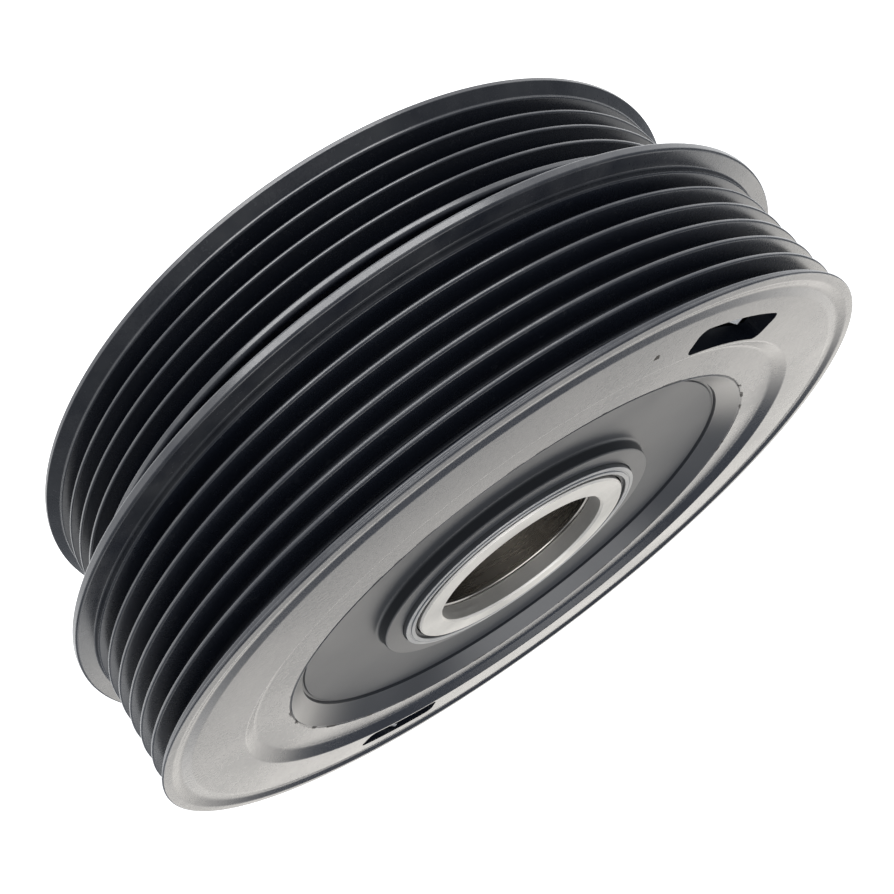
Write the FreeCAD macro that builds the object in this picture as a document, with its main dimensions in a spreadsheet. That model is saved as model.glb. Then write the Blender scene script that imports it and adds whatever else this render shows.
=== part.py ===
"""Electromagnetic clutch that joins two ribbed-belt pulleys on one fixed bore.

Frame: millimetres, +Z along the shaft towards the open face, origin on the axis at the
rear face.  The coil and the inner bearing rings are fixed.  The front pulley carries the
armature on leaf springs, and the rear pulley carries the rotor with its friction face.
"""
import FreeCAD, Part
import math
import os
from types import SimpleNamespace

import Sketcher

DIMENSIONS = {
    # the fixed bore and the stack of rings on it, from the rear face upwards
    "bore_radius": 17.5,
    "seat_radius": 20.0,
    "plate_top": 1.8,
    "seat_top": 2.4,
    "bearing_width": 18.0,
    "neck_spacer_top": 24.9,
    "front_spacer_top": 46.5,
    "front_spacer_radius": 22.3,
    "ring_chamfer": 0.35,
    # double-row ball bearings, the same for both pulleys
    "inner_land_radius": 20.2,
    "outer_land_radius": 22.3,
    "bearing_radius": 25.0,
    "outer_ring_inset": 0.75,
    "pitch_radius": 21.25,
    "ball_radius": 2.38,
    "race_radius": 2.41,
    "row_offset": 4.0,
    "seal_inner_radius": 20.4,
    "seal_outer_radius": 23.1,
    "seal_inset": 0.1,
    "seal_thickness": 1.0,
    "cage_inner_radius": 20.75,
    "cage_outer_radius": 21.75,
    "cage_half_width": 6.7,
    "pocket_radius": 2.45,
    # retaining rings and the grooves that hold them
    "snap_groove_radius": 26.2,
    "snap_ring_radius": 26.1,
    "snap_inner_radius": 23.4,
    "snap_width": 1.2,
    "snap_angle": 325.0,
    "hub_lip_radius": 24.0,
    "hub_lip_width": 0.85,
    "hub_end_margin": 1.05,
    # fixed coil on its mounting plate
    "plate_radius": 53.0,
    "fixing_circle": 42.0,
    "bolt_hole_radius": 3.3,
    "tapped_hole_radius": 2.5,
    "screw_radius": 2.0,
    "screw_head_radius": 3.75,
    "screw_tip": 6.4,
    "screw_slot_width": 0.9,
    "screw_slot_half_length": 4.1,
    "screw_slot_depth": 0.8,
    "shell_inner_radius": 31.8,
    "shell_outer_radius": 52.2,
    "shell_wall": 3.2,
    "shell_back_top": 7.0,
    "shell_top": 30.4,
    "bobbin_gap": 0.3,
    "bobbin_wall": 1.2,
    "bobbin_top": 27.5,
    "winding_radius": 47.8,
    "potting_top": 29.8,
    "socket_angle": 67.5,
    "socket_length": 12.0,
    "socket_breadth": 8.0,
    "socket_rim": 0.3,
    "socket_wall": 1.5,
    "socket_roof": 5.5,
    "pin_spacing": 4.6,
    "pin_length": 2.8,
    "pin_breadth": 0.8,
    "pin_tip": 1.4,
    # rotor and rear pulley
    "rotor_pole_radius": 31.2,
    "rotor_throat_radius": 29.0,
    "rotor_wall_inner": 52.9,
    "rotor_radius": 56.0,
    "rotor_rear": 3.4,
    "rotor_face_rear": 31.4,
    "rotor_face": 35.1,
    "lining_inner_radius": 40.0,
    "lining_outer_radius": 44.5,
    "lining_depth": 1.5,
    "inner_slot_radius": 35.4,
    "outer_slot_radius": 48.9,
    "slot_width": 2.0,
    "slot_span": 66.0,
    "rear_tip_radius": 66.0,
    "rear_flange_radius": 67.6,
    "rear_flange_setback": 2.2,
    "rear_flange_edge": 0.85,
    "rear_flange_top": 1.6,
    "rear_flange_foot": 2.95,
    "rear_rim_round": 0.6,
    "rear_rim_top": 18.4,
    "rear_first_groove": 4.94,
    "relief_inner_radius": 57.8,
    "relief_outer_radius": 60.6,
    "relief_depth": 13.0,
    # ribbed-belt grooves, standard pitch and flank angle
    "groove_pitch": 3.56,
    "groove_flank": 20.0,
    "groove_half_width": 1.73,
    "groove_tip_round": 0.35,
    "groove_root_round": 0.45,
    "groove_overrun": 0.8,
    # front pulley: ribbed rim, tall inner flange and face disc
    "front_tip_radius": 70.35,
    "front_first_groove": 28.47,
    "front_rim_bottom": 20.6,
    "shoulder_radius": 67.4,
    "flange_rear": 23.9,
    "flange_front": 25.5,
    "flange_radius": 73.2,
    "flange_foot": 25.8,
    "flange_round": 0.45,
    "drum_radius": 63.0,
    "drum_round": 0.6,
    "rim_land_top": 48.35,
    "lip_radius": 70.8,
    "lip_bottom": 48.55,
    "lip_top": 49.0,
    "lip_round": 0.3,
    "lip_inner_radius": 68.7,
    "face_groove_radius": 68.1,
    "face_groove_bottom": 48.35,
    "face_outer_radius": 67.5,
    "face_top": 48.65,
    "web_thickness": 3.0,
    "step_outer_radius": 57.0,
    "step_inner_radius": 54.8,
    "step_top": 47.3,
    "step_round": 1.6,
    "seam_radius": 48.3,
    "seam_chamfer": 0.25,
    "window_inner_radius": 57.5,
    "window_outer_radius": 62.8,
    "window_span": 19.0,
    # front hub: bowl, boss and neck
    "bowl_corner_radius": 44.2,
    "bowl_corner_height": 44.5,
    "bowl_foot_radius": 29.0,
    "bowl_foot_height": 43.2,
    "bowl_thickness": 2.8,
    "bowl_round": 0.5,
    "boss_radius": 28.7,
    "boss_top": 45.3,
    "boss_round": 0.3,
    "neck_radius": 27.6,
    "dust_case_top": 46.25,
    "dust_case_wall": 0.8,
    "dust_case_inner_radius": 23.2,
    "dust_case_roof": 0.5,
    "dust_lip_radius": 22.5,
    "dust_lip_bottom": 43.6,
    "dust_lip_heel": 44.6,
    # armature, its leaf springs and their carrier
    "armature_rear": 35.6,
    "armature_thickness": 4.0,
    "armature_inner_radius": 34.0,
    "armature_radius": 56.0,
    "armature_slot_radius": 42.2,
    "armature_slot_width": 1.6,
    "armature_slot_span": 80.0,
    "head_clearance_radius": 4.0,
    "collar_height": 0.3,
    "collar_radius": 3.2,
    "rivet_radius": 1.75,
    "rivet_head_radius": 3.0,
    "rivet_head_height": 0.8,
    "spring_circle": 51.5,
    "spring_span": 48.0,
    "spring_half_width": 4.0,
    "spring_thickness": 0.6,
    "first_spring_angle": 30.0,
    "carrier_bottom": 42.8,
    "carrier_inner_radius": 48.9,
    "carrier_radius": 62.2,
    "tab_inner_radius": 60.9,
    "tab_half_width": 4.0,
    "tab_thickness": 1.2,
    "tab_shoulder": 46.2,
    "tab_point": 48.2,
    "bumper_radius": 3.5,
    "bumper_gap": 0.1,
    "bumper_span": 84.0,
}
BALLS_PER_ROW = 16
FRONT_GROOVES = 6
REAR_GROOVES = 4
FIXING_COUNT = 4
SPRING_COUNT = 3
WINDOW_COUNT = 2
ROTOR_SLOT_COUNT = 4
FULL_TURN = 360.0
# angles of the first fixing bolt and of the first plate screw
BOLT_START = 45.0
SCREW_START = 0.0


class Size:
    """A length that knows both its number and its spreadsheet expression."""

    def __init__(self, value, text=None):
        self.value = float(value)
        self.text = text or repr(float(value))

    def joined(self, other, sign, value):
        return Size(value, f"({self.text} {sign} {other.text})")

    def __add__(self, other):
        other = as_size(other)
        return self.joined(other, "+", self.value + other.value)

    def __sub__(self, other):
        other = as_size(other)
        return self.joined(other, "-", self.value - other.value)

    def __mul__(self, factor):
        factor = as_size(factor)
        return self.joined(factor, "*", self.value * factor.value)

    def __truediv__(self, divisor):
        divisor = as_size(divisor)
        return self.joined(divisor, "/", self.value / divisor.value)

    def __neg__(self):
        return Size(-self.value, f"(0 - {self.text})")


def as_size(length):
    return length if isinstance(length, Size) else Size(length)


def fill_sheet(doc):
    """Write every driving dimension as a plain number and return them as sizes."""
    sheet = doc.addObject("Spreadsheet::Sheet", "Dim")
    for row, (name, value) in enumerate(DIMENSIONS.items(), start=1):
        sheet.set(f"A{row}", name)
        sheet.set(f"B{row}", str(value))
        sheet.setAlias(f"B{row}", name)
    doc.recompute()
    return SimpleNamespace(**{name: Size(value, f"Dim.{name}") for name, value in DIMENSIONS.items()})


doc = FreeCAD.newDocument("clutch")
dim = fill_sheet(doc)
subparts = []


# ---------------------------------------------------------------- sketch helpers

def new_body(label):
    body = doc.addObject("PartDesign::Body", label)
    body.Label = label
    body.AllowCompound = True
    subparts.append(body)
    return body


def origin_feature(body, role):
    return next(item for item in body.Origin.OriginFeatures if item.Role == role)


def new_sketch(body, name, role, offset=None, turn=None):
    """A sketch on one of the body's own planes, shifted along its normal or turned about it."""
    sketch = body.newObject("Sketcher::SketchObject", name)
    sketch.AttachmentSupport = [(origin_feature(body, role), "")]
    sketch.MapMode = "FlatFace"
    if turn is not None:
        sketch.setExpression("AttachmentOffset.Rotation.Angle", f"{turn.text} * 1 deg")
    if offset is not None:
        sketch.setExpression("AttachmentOffset.Base.z", offset.text)
    return sketch


def bind(sketch, constraint, size, unit=""):
    index = sketch.addConstraint(constraint)
    sketch.setExpression(f"Constraints[{index}]", f"{size.text}{unit}")


def fix_coordinate(sketch, kind, axis, geometry, end, size):
    """Hold one coordinate of a point at its distance from the sketch's origin."""
    if size.value == 0:
        sketch.addConstraint(Sketcher.Constraint("PointOnObject", geometry, end, axis))
    elif size.value > 0:
        bind(sketch, Sketcher.Constraint(kind, -1, 1, geometry, end, size.value), size)
    else:
        bind(sketch, Sketcher.Constraint(kind, geometry, end, -1, 1, -size.value), -size)


def fix_point(sketch, geometry, end, point):
    fix_coordinate(sketch, "DistanceX", -2, geometry, end, as_size(point[0]))
    fix_coordinate(sketch, "DistanceY", -1, geometry, end, as_size(point[1]))


def vector(point):
    return FreeCAD.Vector(as_size(point[0]).value, as_size(point[1]).value, 0)


def draw_outline(sketch, points):
    """Closed outline of straight lines, every corner held by the sheet's sizes."""
    first = sketch.GeometryCount
    count = len(points)
    for index in range(count):
        line = Part.LineSegment(vector(points[index]), vector(points[(index + 1) % count]))
        sketch.addGeometry(line, False)
    for index in range(count):
        following = first + (index + 1) % count
        sketch.addConstraint(Sketcher.Constraint("Coincident", first + index, 2, following, 1))
    for index, point in enumerate(points):
        fix_point(sketch, first + index, 1, point)


def draw_circle(sketch, radius, centre):
    circle = Part.Circle(vector(centre), FreeCAD.Vector(0, 0, 1), radius.value)
    index = sketch.addGeometry(circle, False)
    fix_point(sketch, index, 3, centre)
    bind(sketch, Sketcher.Constraint("Radius", index, radius.value), radius)


def draw_arc(sketch, centre, radius, start_angle, end_angle):
    circle = Part.Circle(centre, FreeCAD.Vector(0, 0, 1), radius)
    return sketch.addGeometry(Part.ArcOfCircle(circle, start_angle, end_angle), False)


def draw_arc_slot(sketch, inner_radius, outer_radius, span):
    """Curved window about the origin, centred on the sketch's X axis, with straight ends."""
    half = math.radians(span.value / 2)
    origin = FreeCAD.Vector()
    outer = draw_arc(sketch, origin, outer_radius.value, -half, half)
    inner = draw_arc(sketch, origin, inner_radius.value, -half, half)
    ends = []
    for side in (-1, 1):
        direction = FreeCAD.Vector(math.cos(side * half), math.sin(side * half), 0)
        line = Part.LineSegment(direction * inner_radius.value, direction * outer_radius.value)
        ends.append(sketch.addGeometry(line, False))
    for arc, radius in ((outer, outer_radius), (inner, inner_radius)):
        sketch.addConstraint(Sketcher.Constraint("Coincident", arc, 3, -1, 1))
        bind(sketch, Sketcher.Constraint("Radius", arc, radius.value), radius)
    for line, arc_end in zip(ends, (1, 2)):
        sketch.addConstraint(Sketcher.Constraint("Coincident", line, 1, inner, arc_end))
        sketch.addConstraint(Sketcher.Constraint("Coincident", line, 2, outer, arc_end))
        sketch.addConstraint(Sketcher.Constraint("PointOnObject", -1, 1, line))
    sketch.addConstraint(Sketcher.Constraint("Symmetric", outer, 1, outer, 2, -1))
    bind(sketch, Sketcher.Constraint("Angle", ends[0], 1, ends[1], 1, 2 * half), span, " * 1 deg")


# ---------------------------------------------------------------- feature helpers

def revolve(body, points, name="Turned", angle=None):
    """Turn a closed outline of (radius, height) corners about the shaft."""
    sketch = new_sketch(body, f"{name}Outline", "XZ_Plane")
    draw_outline(sketch, points)
    turned = body.newObject("PartDesign::Revolution", name)
    turned.Profile = sketch
    turned.ReferenceAxis = (sketch, ["V_Axis"])
    turned.Angle = FULL_TURN
    if angle is not None:
        turned.setExpression("Angle", f"{angle.text} * 1 deg")
    sketch.Visibility = False
    return turned


def ring(label, inner, outer, bottom, top):
    """Plain ring of rectangular section."""
    body = new_body(label)
    revolve(body, [(inner, bottom), (outer, bottom), (outer, top), (inner, top)])
    return body


def polar(body, features, count, name):
    """Repeat a list of features evenly about the shaft."""
    pattern = body.newObject("PartDesign::PolarPattern", name)
    pattern.Originals = features
    pattern.Axis = (origin_feature(body, "Z_Axis"), [""])
    pattern.Angle = FULL_TURN
    pattern.Occurrences = count
    body.Tip = pattern


def pocket(body, sketch, depth, name, upwards=True):
    """Cut a sketch drawn on a level plane upwards or downwards through a stated depth."""
    cut = body.newObject("PartDesign::Pocket", name)
    cut.Profile = sketch
    cut.setExpression("Length", depth.text)
    cut.Reversed = upwards
    sketch.Visibility = False
    return cut


def pad(body, sketch, height, name):
    raised = body.newObject("PartDesign::Pad", name)
    raised.Profile = sketch
    raised.setExpression("Length", height.text)
    sketch.Visibility = False
    return raised


def turned_about(body, centre_radius, points, name, kind="PartDesign::Revolution"):
    """Turn an outline about an axis parallel to the shaft, at a radius from it."""
    sketch = new_sketch(body, f"{name}Outline", "XZ_Plane")
    draw_outline(sketch, [(centre_radius + radius, height) for radius, height in points])
    start = FreeCAD.Vector(centre_radius.value, as_size(points[0][1]).value, 0)
    axis_length = 1.0
    axis = sketch.addGeometry(Part.LineSegment(start, start + FreeCAD.Vector(0, axis_length, 0)), True)
    sketch.addConstraint(Sketcher.Constraint("Vertical", axis))
    fix_point(sketch, axis, 1, (centre_radius, points[0][1]))
    sketch.addConstraint(Sketcher.Constraint("Distance", axis, axis_length))
    feature = body.newObject(kind, name)
    feature.Profile = sketch
    feature.ReferenceAxis = (sketch, ["Axis0"])
    feature.Angle = FULL_TURN
    sketch.Visibility = False
    return feature


def ring_edges(feature, places):
    """Names of the circular edges that lie at the given radius and height."""
    names = []
    for index, edge in enumerate(feature.Shape.Edges, start=1):
        if not isinstance(edge.Curve, Part.Circle):
            continue
        for radius, height in places:
            near_radius = abs(edge.Curve.Radius - as_size(radius).value) < 1e-4
            near_height = abs(edge.Curve.Center.z - as_size(height).value) < 1e-4
            if near_radius and near_height:
                names.append(f"Edge{index}")
    return names


def round_edges(body, feature, places, radius, name="Rounded"):
    doc.recompute()
    fillet = body.newObject("PartDesign::Fillet", name)
    fillet.Base = (feature, ring_edges(feature, places))
    fillet.setExpression("Radius", radius.text)
    doc.recompute()
    return fillet


def groove_points(tip_radius, height):
    """Corners of one vee in its upper half: round centres and where the flank meets them."""
    flank = math.radians(dim.groove_flank.value)
    half = dim.groove_half_width.value
    tip_round = dim.groove_tip_round.value
    root_round = dim.groove_root_round.value
    tip_x = tip_radius.value - tip_round
    root_x = tip_x - (half * math.cos(flank) - tip_round - root_round) / math.sin(flank)
    lean, rise = math.sin(flank), math.cos(flank)
    return SimpleNamespace(
        flank=flank,
        root_centre=FreeCAD.Vector(root_x, height, 0),
        root_end=FreeCAD.Vector(root_x - root_round * lean, height + root_round * rise, 0),
        tip_centre=FreeCAD.Vector(tip_x, height + half, 0),
        tip_end=FreeCAD.Vector(tip_x + tip_round * lean, height + half - tip_round * rise, 0),
        tip_top=FreeCAD.Vector(tip_radius.value, height + half, 0),
        wall_end=FreeCAD.Vector(tip_radius.value + dim.groove_overrun.value, height + half, 0),
    )


def draw_groove(sketch, tip_radius, first_height):
    """Lines and arcs of one vee; returns their numbers in the sketch."""
    height = first_height.value
    points = groove_points(tip_radius, height)
    quarter = math.pi / 2 - points.flank

    def mirrored(point, side):
        return FreeCAD.Vector(point.x, height + side * (point.y - height), 0)

    def draw_line(start, end):
        return sketch.addGeometry(Part.LineSegment(start, end))

    root = draw_arc(sketch, points.root_centre, dim.groove_root_round.value,
                    math.pi / 2 + points.flank, 3 * math.pi / 2 - points.flank)
    halves = []
    for side in (1, -1):
        start = -quarter if side > 0 else 0.0
        tip = draw_arc(sketch, mirrored(points.tip_centre, side), dim.groove_tip_round.value,
                       start, start + quarter)
        flank = draw_line(mirrored(points.root_end, side), mirrored(points.tip_end, side))
        wall = draw_line(mirrored(points.tip_top, side), mirrored(points.wall_end, side))
        halves.append(SimpleNamespace(side=side, tip=tip, flank=flank, wall=wall))
    cap = draw_line(mirrored(points.wall_end, 1), mirrored(points.wall_end, -1))
    return root, halves, cap


def hold_groove(sketch, tip_radius, first_height, root, halves, cap):
    """Tie the vee to the sheet's sizes."""
    for half in halves:
        upper = half.side > 0
        flank_end, top_end = (1, 2) if upper else (2, 1)
        root_end = 1 if upper else 2
        shift = dim.groove_half_width
        centre_height = first_height + shift if upper else first_height - shift
        sketch.addConstraint(Sketcher.Constraint("Tangent", half.flank, 1, root, root_end))
        sketch.addConstraint(Sketcher.Constraint("Tangent", half.flank, 2, half.tip, flank_end))
        sketch.addConstraint(Sketcher.Constraint("Coincident", half.wall, 1, half.tip, top_end))
        sketch.addConstraint(Sketcher.Constraint("Coincident", half.wall, 2, cap, root_end))
        sketch.addConstraint(Sketcher.Constraint("Horizontal", half.wall))
        radius = Sketcher.Constraint("Radius", half.tip, dim.groove_tip_round.value)
        bind(sketch, radius, dim.groove_tip_round)
        fix_point(sketch, half.tip, 3, (tip_radius - dim.groove_tip_round, centre_height))
        fix_coordinate(sketch, "DistanceY", -1, half.tip, top_end, centre_height)
    fix_coordinate(sketch, "DistanceY", -1, root, 3, first_height)
    bind(sketch, Sketcher.Constraint("Radius", root, dim.groove_root_round.value), dim.groove_root_round)
    angle = Sketcher.Constraint("Angle", halves[0].flank, math.radians(dim.groove_flank.value))
    bind(sketch, angle, dim.groove_flank, " * 1 deg")
    sketch.addConstraint(Sketcher.Constraint("Vertical", cap))
    fix_coordinate(sketch, "DistanceX", -2, cap, 1, tip_radius + dim.groove_overrun)


def cut_grooves(body, tip_radius, first_height, count):
    """Ribbed-belt grooves: one vee with rounded tips and root, repeated along the shaft."""
    sketch = new_sketch(body, "GrooveOutline", "XZ_Plane")
    root, halves, cap = draw_groove(sketch, tip_radius, first_height)
    hold_groove(sketch, tip_radius, first_height, root, halves, cap)
    groove = body.newObject("PartDesign::Groove", "Vee")
    groove.Profile = sketch
    groove.ReferenceAxis = (sketch, ["V_Axis"])
    groove.Angle = FULL_TURN
    sketch.Visibility = False
    doc.recompute()
    pattern = body.newObject("PartDesign::LinearPattern", "Vees")
    pattern.Originals = [groove]
    pattern.Direction = (origin_feature(body, "Z_Axis"), [""])
    pattern.Occurrences = count
    pattern.setExpression("Length", f"{dim.groove_pitch.text} * {count - 1}")
    body.Tip = pattern


def around(radius, angle):
    """Point at an angle about the shaft, as sketch coordinates."""
    turn = math.radians(angle.value)
    along = Size(radius.value * math.cos(turn), f"({radius.text} * cos({angle.text} * 1 deg))")
    across = Size(radius.value * math.sin(turn), f"({radius.text} * sin({angle.text} * 1 deg))")
    return along, across


def drill(body, points, radius, bottom, depth, name):
    """Round hole or holes cut upwards from a level."""
    sketch = new_sketch(body, f"{name}Circles", "XY_Plane", bottom)
    for point in points:
        draw_circle(sketch, radius, point)
    return pocket(body, sketch, depth, name)


def draw_box(sketch, centre, half_x, half_y):
    x, y = as_size(centre[0]), as_size(centre[1])
    corners = ((-1, -1), (1, -1), (1, 1), (-1, 1))
    draw_outline(sketch, [(x + half_x * i, y + half_y * j) for i, j in corners])


def draw_link(sketch, centre_x, half_length, half_width):
    """Strip with round ends, its long axis along Y."""
    arcs = []
    for side, start in ((1, 0.0), (-1, math.pi)):
        centre = FreeCAD.Vector(centre_x.value, side * half_length.value, 0)
        arc = draw_arc(sketch, centre, half_width.value, start, start + math.pi)
        fix_point(sketch, arc, 3, (centre_x, half_length if side > 0 else -half_length))
        bind(sketch, Sketcher.Constraint("Radius", arc, half_width.value), half_width)
        arcs.append(arc)
    for side in (1, -1):
        x = centre_x.value + side * half_width.value
        low = FreeCAD.Vector(x, -half_length.value, 0)
        high = FreeCAD.Vector(x, half_length.value, 0)
        line = sketch.addGeometry(Part.LineSegment(low, high), False)
        upper_end, lower_end = (1, 2) if side > 0 else (2, 1)
        sketch.addConstraint(Sketcher.Constraint("Tangent", line, 2, arcs[0], upper_end))
        sketch.addConstraint(Sketcher.Constraint("Tangent", line, 1, arcs[1], lower_end))


def turn_body(body, angle):
    body.setExpression("Placement.Rotation.Angle", f"{angle.text} * 1 deg")


# ---------------------------------------------------------------- bearings

def bearing_sizes(bottom):
    """Heights of one bearing whose inner ring starts at bottom."""
    middle = bottom + dim.bearing_width / 2
    return SimpleNamespace(
        bottom=bottom,
        top=bottom + dim.bearing_width,
        middle=middle,
        outer_bottom=bottom + dim.outer_ring_inset,
        outer_top=bottom + dim.bearing_width - dim.outer_ring_inset,
        rows=(middle - dim.row_offset, middle + dim.row_offset),
    )


def cut_races(body, rows, name):
    """Two deep grooves for the ball rows."""
    last = None
    for index, row in enumerate(rows):
        sketch = new_sketch(body, f"{name}Circle{index}", "XZ_Plane")
        draw_circle(sketch, dim.race_radius, (dim.pitch_radius, row))
        last = body.newObject("PartDesign::Groove", f"{name}{index}")
        last.Profile = sketch
        last.ReferenceAxis = (sketch, ["V_Axis"])
        last.Angle = FULL_TURN
        sketch.Visibility = False
    return last


def inner_ring(label, heights):
    body = new_body(label)
    chamfer = dim.ring_chamfer
    revolve(body, [
        (dim.bore_radius + chamfer, heights.bottom),
        (dim.inner_land_radius, heights.bottom),
        (dim.inner_land_radius, heights.top),
        (dim.bore_radius + chamfer, heights.top),
        (dim.bore_radius, heights.top - chamfer),
        (dim.bore_radius, heights.bottom + chamfer),
    ])
    cut_races(body, heights.rows, "InnerRace")


def outer_ring(label, heights):
    body = new_body(label)
    seat = dim.seal_inset + dim.seal_thickness
    revolve(body, [
        (dim.seal_outer_radius, heights.outer_bottom),
        (dim.bearing_radius, heights.outer_bottom),
        (dim.bearing_radius, heights.outer_top),
        (dim.seal_outer_radius, heights.outer_top),
        (dim.seal_outer_radius, heights.outer_top - seat),
        (dim.outer_land_radius, heights.outer_top - seat),
        (dim.outer_land_radius, heights.outer_bottom + seat),
        (dim.seal_outer_radius, heights.outer_bottom + seat),
    ])
    cut_races(body, heights.rows, "OuterRace")


def bearing_seals(label, heights):
    body = new_body(label)
    low = heights.outer_bottom + dim.seal_inset
    high = heights.outer_top - dim.seal_inset
    for name, bottom in (("Lower", low), ("Upper", high - dim.seal_thickness)):
        top = bottom + dim.seal_thickness
        inner, outer = dim.seal_inner_radius, dim.seal_outer_radius
        revolve(body, [(inner, bottom), (outer, bottom), (outer, top), (inner, top)], name)


def ball_group(label, heights):
    """Both rows of balls as one group of separate spheres."""
    balls = []
    for row in heights.rows:
        for index in range(BALLS_PER_ROW):
            x, y = around(dim.pitch_radius, Size(FULL_TURN * index / BALLS_PER_ROW))
            ball = doc.addObject("Part::Sphere", f"{label}_ball")
            ball.setExpression("Radius", dim.ball_radius.text)
            for axis, size in zip("xyz", (x, y, row)):
                ball.setExpression(f"Placement.Base.{axis}", size.text)
            balls.append(ball)
    group = doc.addObject("Part::Compound", label)
    group.Links = balls
    group.Label = label
    subparts.append(group)


def ball_cage(label, heights):
    """Thin sleeve between the rings with a round pocket for every ball."""
    body = new_body(label)
    inner, outer = dim.cage_inner_radius, dim.cage_outer_radius
    bottom, top = heights.middle - dim.cage_half_width, heights.middle + dim.cage_half_width
    revolve(body, [(inner, bottom), (outer, bottom), (outer, top), (inner, top)], "Sleeve")
    for index, row in enumerate(heights.rows):
        sketch = new_sketch(body, f"PocketCircle{index}", "YZ_Plane")
        draw_circle(sketch, dim.pocket_radius, (Size(0), row))
        hole = pocket(body, sketch, dim.bearing_radius, f"BallPocket{index}")
        polar(body, [hole], BALLS_PER_ROW, f"BallPockets{index}")


def snap_ring(label, bottom):
    body = new_body(label)
    top = bottom + dim.snap_width
    outline = [(dim.snap_inner_radius, bottom), (dim.snap_ring_radius, bottom),
               (dim.snap_ring_radius, top), (dim.snap_inner_radius, top)]
    revolve(body, outline, angle=dim.snap_angle)


def make_bearing(side, heights):
    inner_ring(f"{side}_inner_ring", heights)
    outer_ring(f"{side}_outer_ring", heights)
    bearing_seals(f"{side}_bearing_seals", heights)
    ball_group(f"{side}_balls", heights)
    ball_cage(f"{side}_ball_cage", heights)


# ---------------------------------------------------------------- fixed coil

def fixing_points(first):
    """Four points on the fixing circle, the first at the given angle."""
    return [around(dim.fixing_circle, Size(first + FULL_TURN * index / FIXING_COUNT))
            for index in range(FIXING_COUNT)]


def socket_window(body, bottom, depth, name):
    """Opening for the terminal socket, drawn square to the radius and turned into place."""
    sketch = new_sketch(body, f"{name}Outline", "XY_Plane", bottom, dim.socket_angle)
    draw_box(sketch, (dim.fixing_circle, 0), dim.socket_breadth / 2, dim.socket_length / 2)
    return pocket(body, sketch, depth, name)


def coil_plate():
    """Mounting plate: clearance holes for the fixing bolts, a seat for the bearing stack."""
    body = new_body("coil_plate")
    revolve(body, [
        (dim.bore_radius, 0),
        (dim.plate_radius, 0),
        (dim.plate_radius, dim.plate_top),
        (dim.seat_radius, dim.plate_top),
        (dim.seat_radius, dim.seat_top),
        (dim.bore_radius, dim.seat_top),
    ])
    drill(body, fixing_points(BOLT_START), dim.bolt_hole_radius, Size(0), dim.plate_top, "BoltHoles")
    socket_window(body, Size(0), dim.plate_top, "SocketWindow")
    screw_cone = turned_about(body, dim.fixing_circle, screw_outline(dim.plate_top), "ScrewSeat",
                              "PartDesign::Groove")
    polar(body, [screw_cone], FIXING_COUNT, "ScrewSeats")


def screw_outline(top):
    """Half section of a countersunk screw whose head is flush with the rear face."""
    cone = dim.screw_head_radius - dim.screw_radius
    return [(Size(0), Size(0)), (dim.screw_head_radius, Size(0)), (dim.screw_radius, cone),
            (dim.screw_radius, top), (Size(0), top)]


def plate_screws():
    body = new_body("plate_screws")
    screw = turned_about(body, dim.fixing_circle, screw_outline(dim.screw_tip), "Screw")
    sketch = new_sketch(body, "SlotOutline", "XY_Plane")
    draw_box(sketch, (dim.fixing_circle, 0), dim.screw_slot_half_length, dim.screw_slot_width / 2)
    slot = pocket(body, sketch, dim.screw_slot_depth, "DriverSlot")
    polar(body, [screw, slot], FIXING_COUNT, "Screws")


def coil_shell():
    """Iron cup of U section, welded to the plate, open towards the rotor."""
    body = new_body("coil_shell")
    inner, outer = dim.shell_inner_radius, dim.shell_outer_radius
    revolve(body, [
        (inner, dim.plate_top),
        (outer, dim.plate_top),
        (outer, dim.shell_top),
        (outer - dim.shell_wall, dim.shell_top),
        (outer - dim.shell_wall, dim.shell_back_top),
        (inner + dim.shell_wall, dim.shell_back_top),
        (inner + dim.shell_wall, dim.shell_top),
        (inner, dim.shell_top),
    ])
    depth = dim.shell_back_top - dim.plate_top
    drill(body, fixing_points(BOLT_START), dim.tapped_hole_radius, dim.plate_top, depth, "TappedHoles")
    drill(body, fixing_points(SCREW_START), dim.screw_radius, dim.plate_top, depth, "ScrewHoles")
    body.Tip = socket_window(body, dim.plate_top, depth, "SocketWindow")


def coil_bobbin():
    """Nylon spool that carries the winding inside the iron cup."""
    body = new_body("coil_bobbin")
    inner = dim.shell_inner_radius + dim.shell_wall + dim.bobbin_gap
    outer = dim.shell_outer_radius - dim.shell_wall - dim.bobbin_gap
    core = inner + dim.bobbin_wall
    bottom = dim.shell_back_top
    top = dim.bobbin_top
    wall = dim.bobbin_wall
    revolve(body, [(inner, bottom), (outer, bottom), (outer, bottom + wall), (core, bottom + wall),
                   (core, top - wall), (outer, top - wall), (outer, top), (inner, top)])


def coil_winding():
    inner = dim.shell_inner_radius + dim.shell_wall + dim.bobbin_gap + dim.bobbin_wall
    ring("coil_winding", inner, dim.winding_radius,
         dim.shell_back_top + dim.bobbin_wall, dim.bobbin_top - dim.bobbin_wall)


def coil_potting():
    """Resin cap that seals the open end of the iron cup."""
    ring("coil_potting", dim.shell_inner_radius + dim.shell_wall, dim.shell_outer_radius - dim.shell_wall,
         dim.bobbin_top, dim.potting_top)


def pin_centres():
    return [(dim.fixing_circle, dim.pin_spacing / 2 * side) for side in (-1, 1)]


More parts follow.
